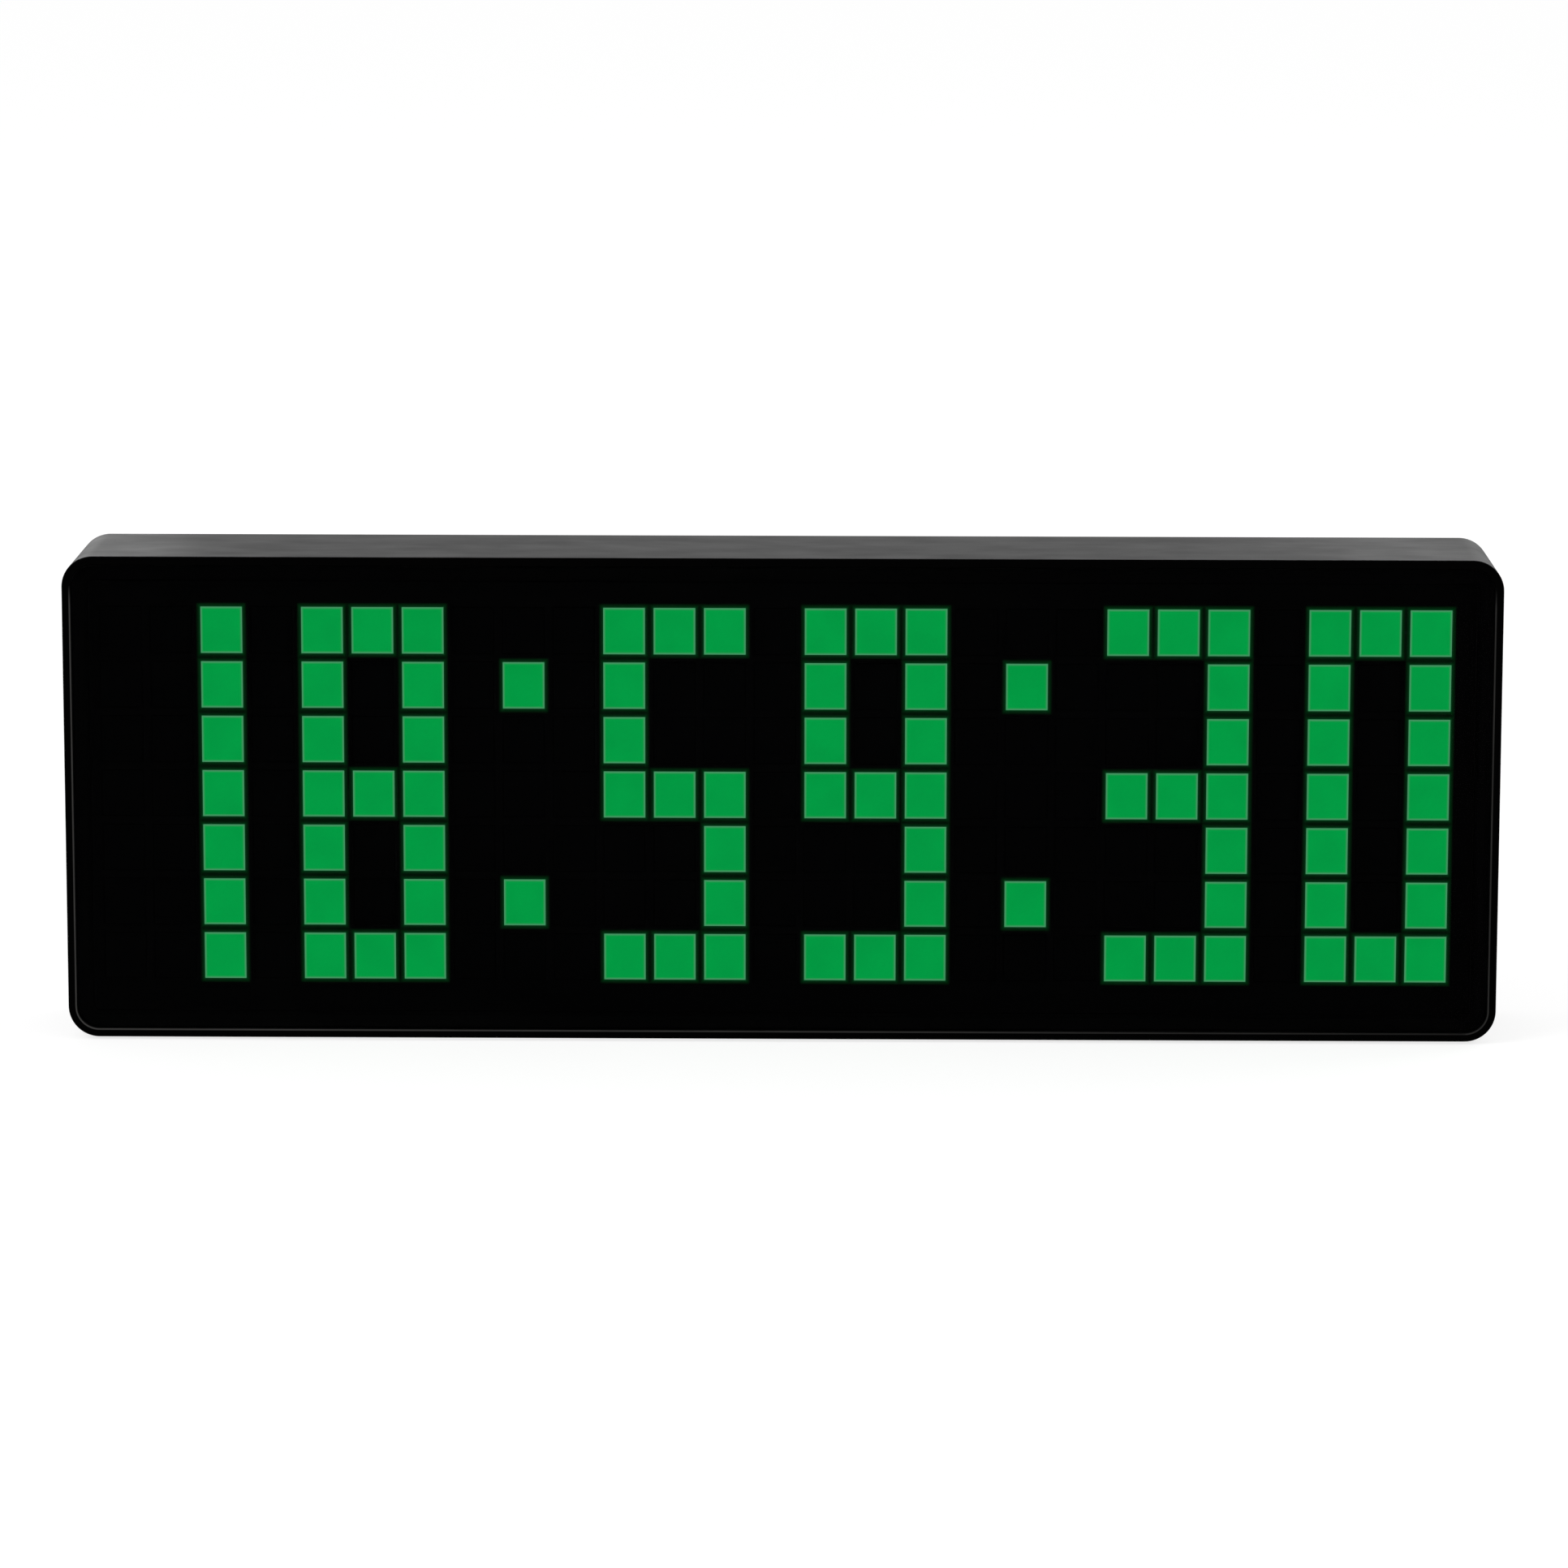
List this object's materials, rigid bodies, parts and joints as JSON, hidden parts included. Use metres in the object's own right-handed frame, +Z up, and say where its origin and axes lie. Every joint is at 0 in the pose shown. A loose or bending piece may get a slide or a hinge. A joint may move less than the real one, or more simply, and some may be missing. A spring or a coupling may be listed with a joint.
{
  "type": "led pixel clock",
  "caption": "Wide black desk clock: rounded case, flush dark window, square pixels showing a time, rear push buttons, power socket and back-up cell.",
  "frame": {"origin": "centre of the box at the level of the feet's undersides", "axes": "+Z up, face towards -Y, rear cover towards +Y, +X to the right of someone reading the clock"},
  "size_m": [0.3, 0.036, 0.1026],
  "materials": {
    "case_plastic": "black satin moulded plastic",
    "smoked_window": "smoked acrylic sheet, gloss",
    "tape": "black double-sided foam tape",
    "rubber_feet": "matt black rubber",
    "grid_plastic": "dead black moulded plastic",
    "dark_tile": "smoked translucent plastic, unlit",
    "lit_tile": "translucent plastic, lit green",
    "lamp_board": "black circuit board",
    "main_board": "green circuit board",
    "chip": "black moulded resin",
    "connector": "natural nylon",
    "ribbon": "grey vinyl ribbon",
    "plain_steel": "zinc-plated steel",
    "black_steel": "blackened steel",
    "aluminium_can": "drawn can, satin",
    "button_plastic": "dark grey satin moulded plastic"
  },
  "bodies": {
    "clock_body": {"case": "case_plastic", "rear_cover": "case_plastic", "battery_cover": "case_plastic", "front_window": "smoked_window", "window_tape": "tape", "foot_1": "rubber_feet", "foot_2": "rubber_feet", "foot_3": "rubber_feet", "foot_4": "rubber_feet", "light_grid": "grid_plastic", "tiles_unlit": "dark_tile", "tiles_hours_tens": "lit_tile", "tiles_hours_units": "lit_tile", "tiles_colon_left": "lit_tile", "tiles_minutes_tens": "lit_tile", "tiles_minutes_units": "lit_tile", "tiles_colon_right": "lit_tile", "tiles_seconds_tens": "lit_tile", "tiles_seconds_units": "lit_tile", "lamp_board": "lamp_board", "lamp_driver_1": "chip", "lamp_driver_2": "chip", "lamp_driver_3": "chip", "controller_chip": "chip", "clock_chip": "chip", "buzzer": "chip", "cell_holder": "chip", "switch_alarm": "chip", "switch_down": "chip", "switch_up": "chip", "switch_set": "chip", "lamp_board_connector": "connector", "main_board_connector": "connector", "lamp_board_screw_1": "plain_steel", "lamp_board_screw_2": "plain_steel", "lamp_board_screw_3": "plain_steel", "lamp_board_screw_4": "plain_steel", "main_board_screw_1": "plain_steel", "main_board_screw_2": "plain_steel", "main_board_screw_3": "plain_steel", "main_board_screw_4": "plain_steel", "clock_crystal": "plain_steel", "power_socket": "plain_steel", "cell_contact": "plain_steel", "backup_cell": "plain_steel", "cover_screw_1": "black_steel", "cover_screw_2": "black_steel", "cover_screw_3": "black_steel", "cover_screw_4": "black_steel", "cover_screw_5": "black_steel", "cover_screw_6": "black_steel", "battery_cover_screw": "black_steel", "supply_capacitor": "aluminium_can", "main_board": "main_board", "ribbon_lead": "ribbon"},
    "alarm_button": {"button_alarm": "button_plastic"},
    "down_button": {"button_down": "button_plastic"},
    "up_button": {"button_up": "button_plastic"},
    "set_button": {"button_set": "button_plastic"}
  },
  "joints": [
    {"name": "press_alarm", "type": "slide", "parent": "clock_body", "child": "alarm_button", "axis": [0, -1, 0], "range_m": [0, 0.0008], "stiffness_N_per_m": 500, "springref_m": -0.002},
    {"name": "press_down", "type": "slide", "parent": "clock_body", "child": "down_button", "axis": [0, -1, 0], "range_m": [0, 0.0008], "stiffness_N_per_m": 500, "springref_m": -0.002},
    {"name": "press_up", "type": "slide", "parent": "clock_body", "child": "up_button", "axis": [0, -1, 0], "range_m": [0, 0.0008], "stiffness_N_per_m": 500, "springref_m": -0.002},
    {"name": "press_set", "type": "slide", "parent": "clock_body", "child": "set_button", "axis": [0, -1, 0], "range_m": [0, 0.0008], "stiffness_N_per_m": 500, "springref_m": -0.002}
  ]
}
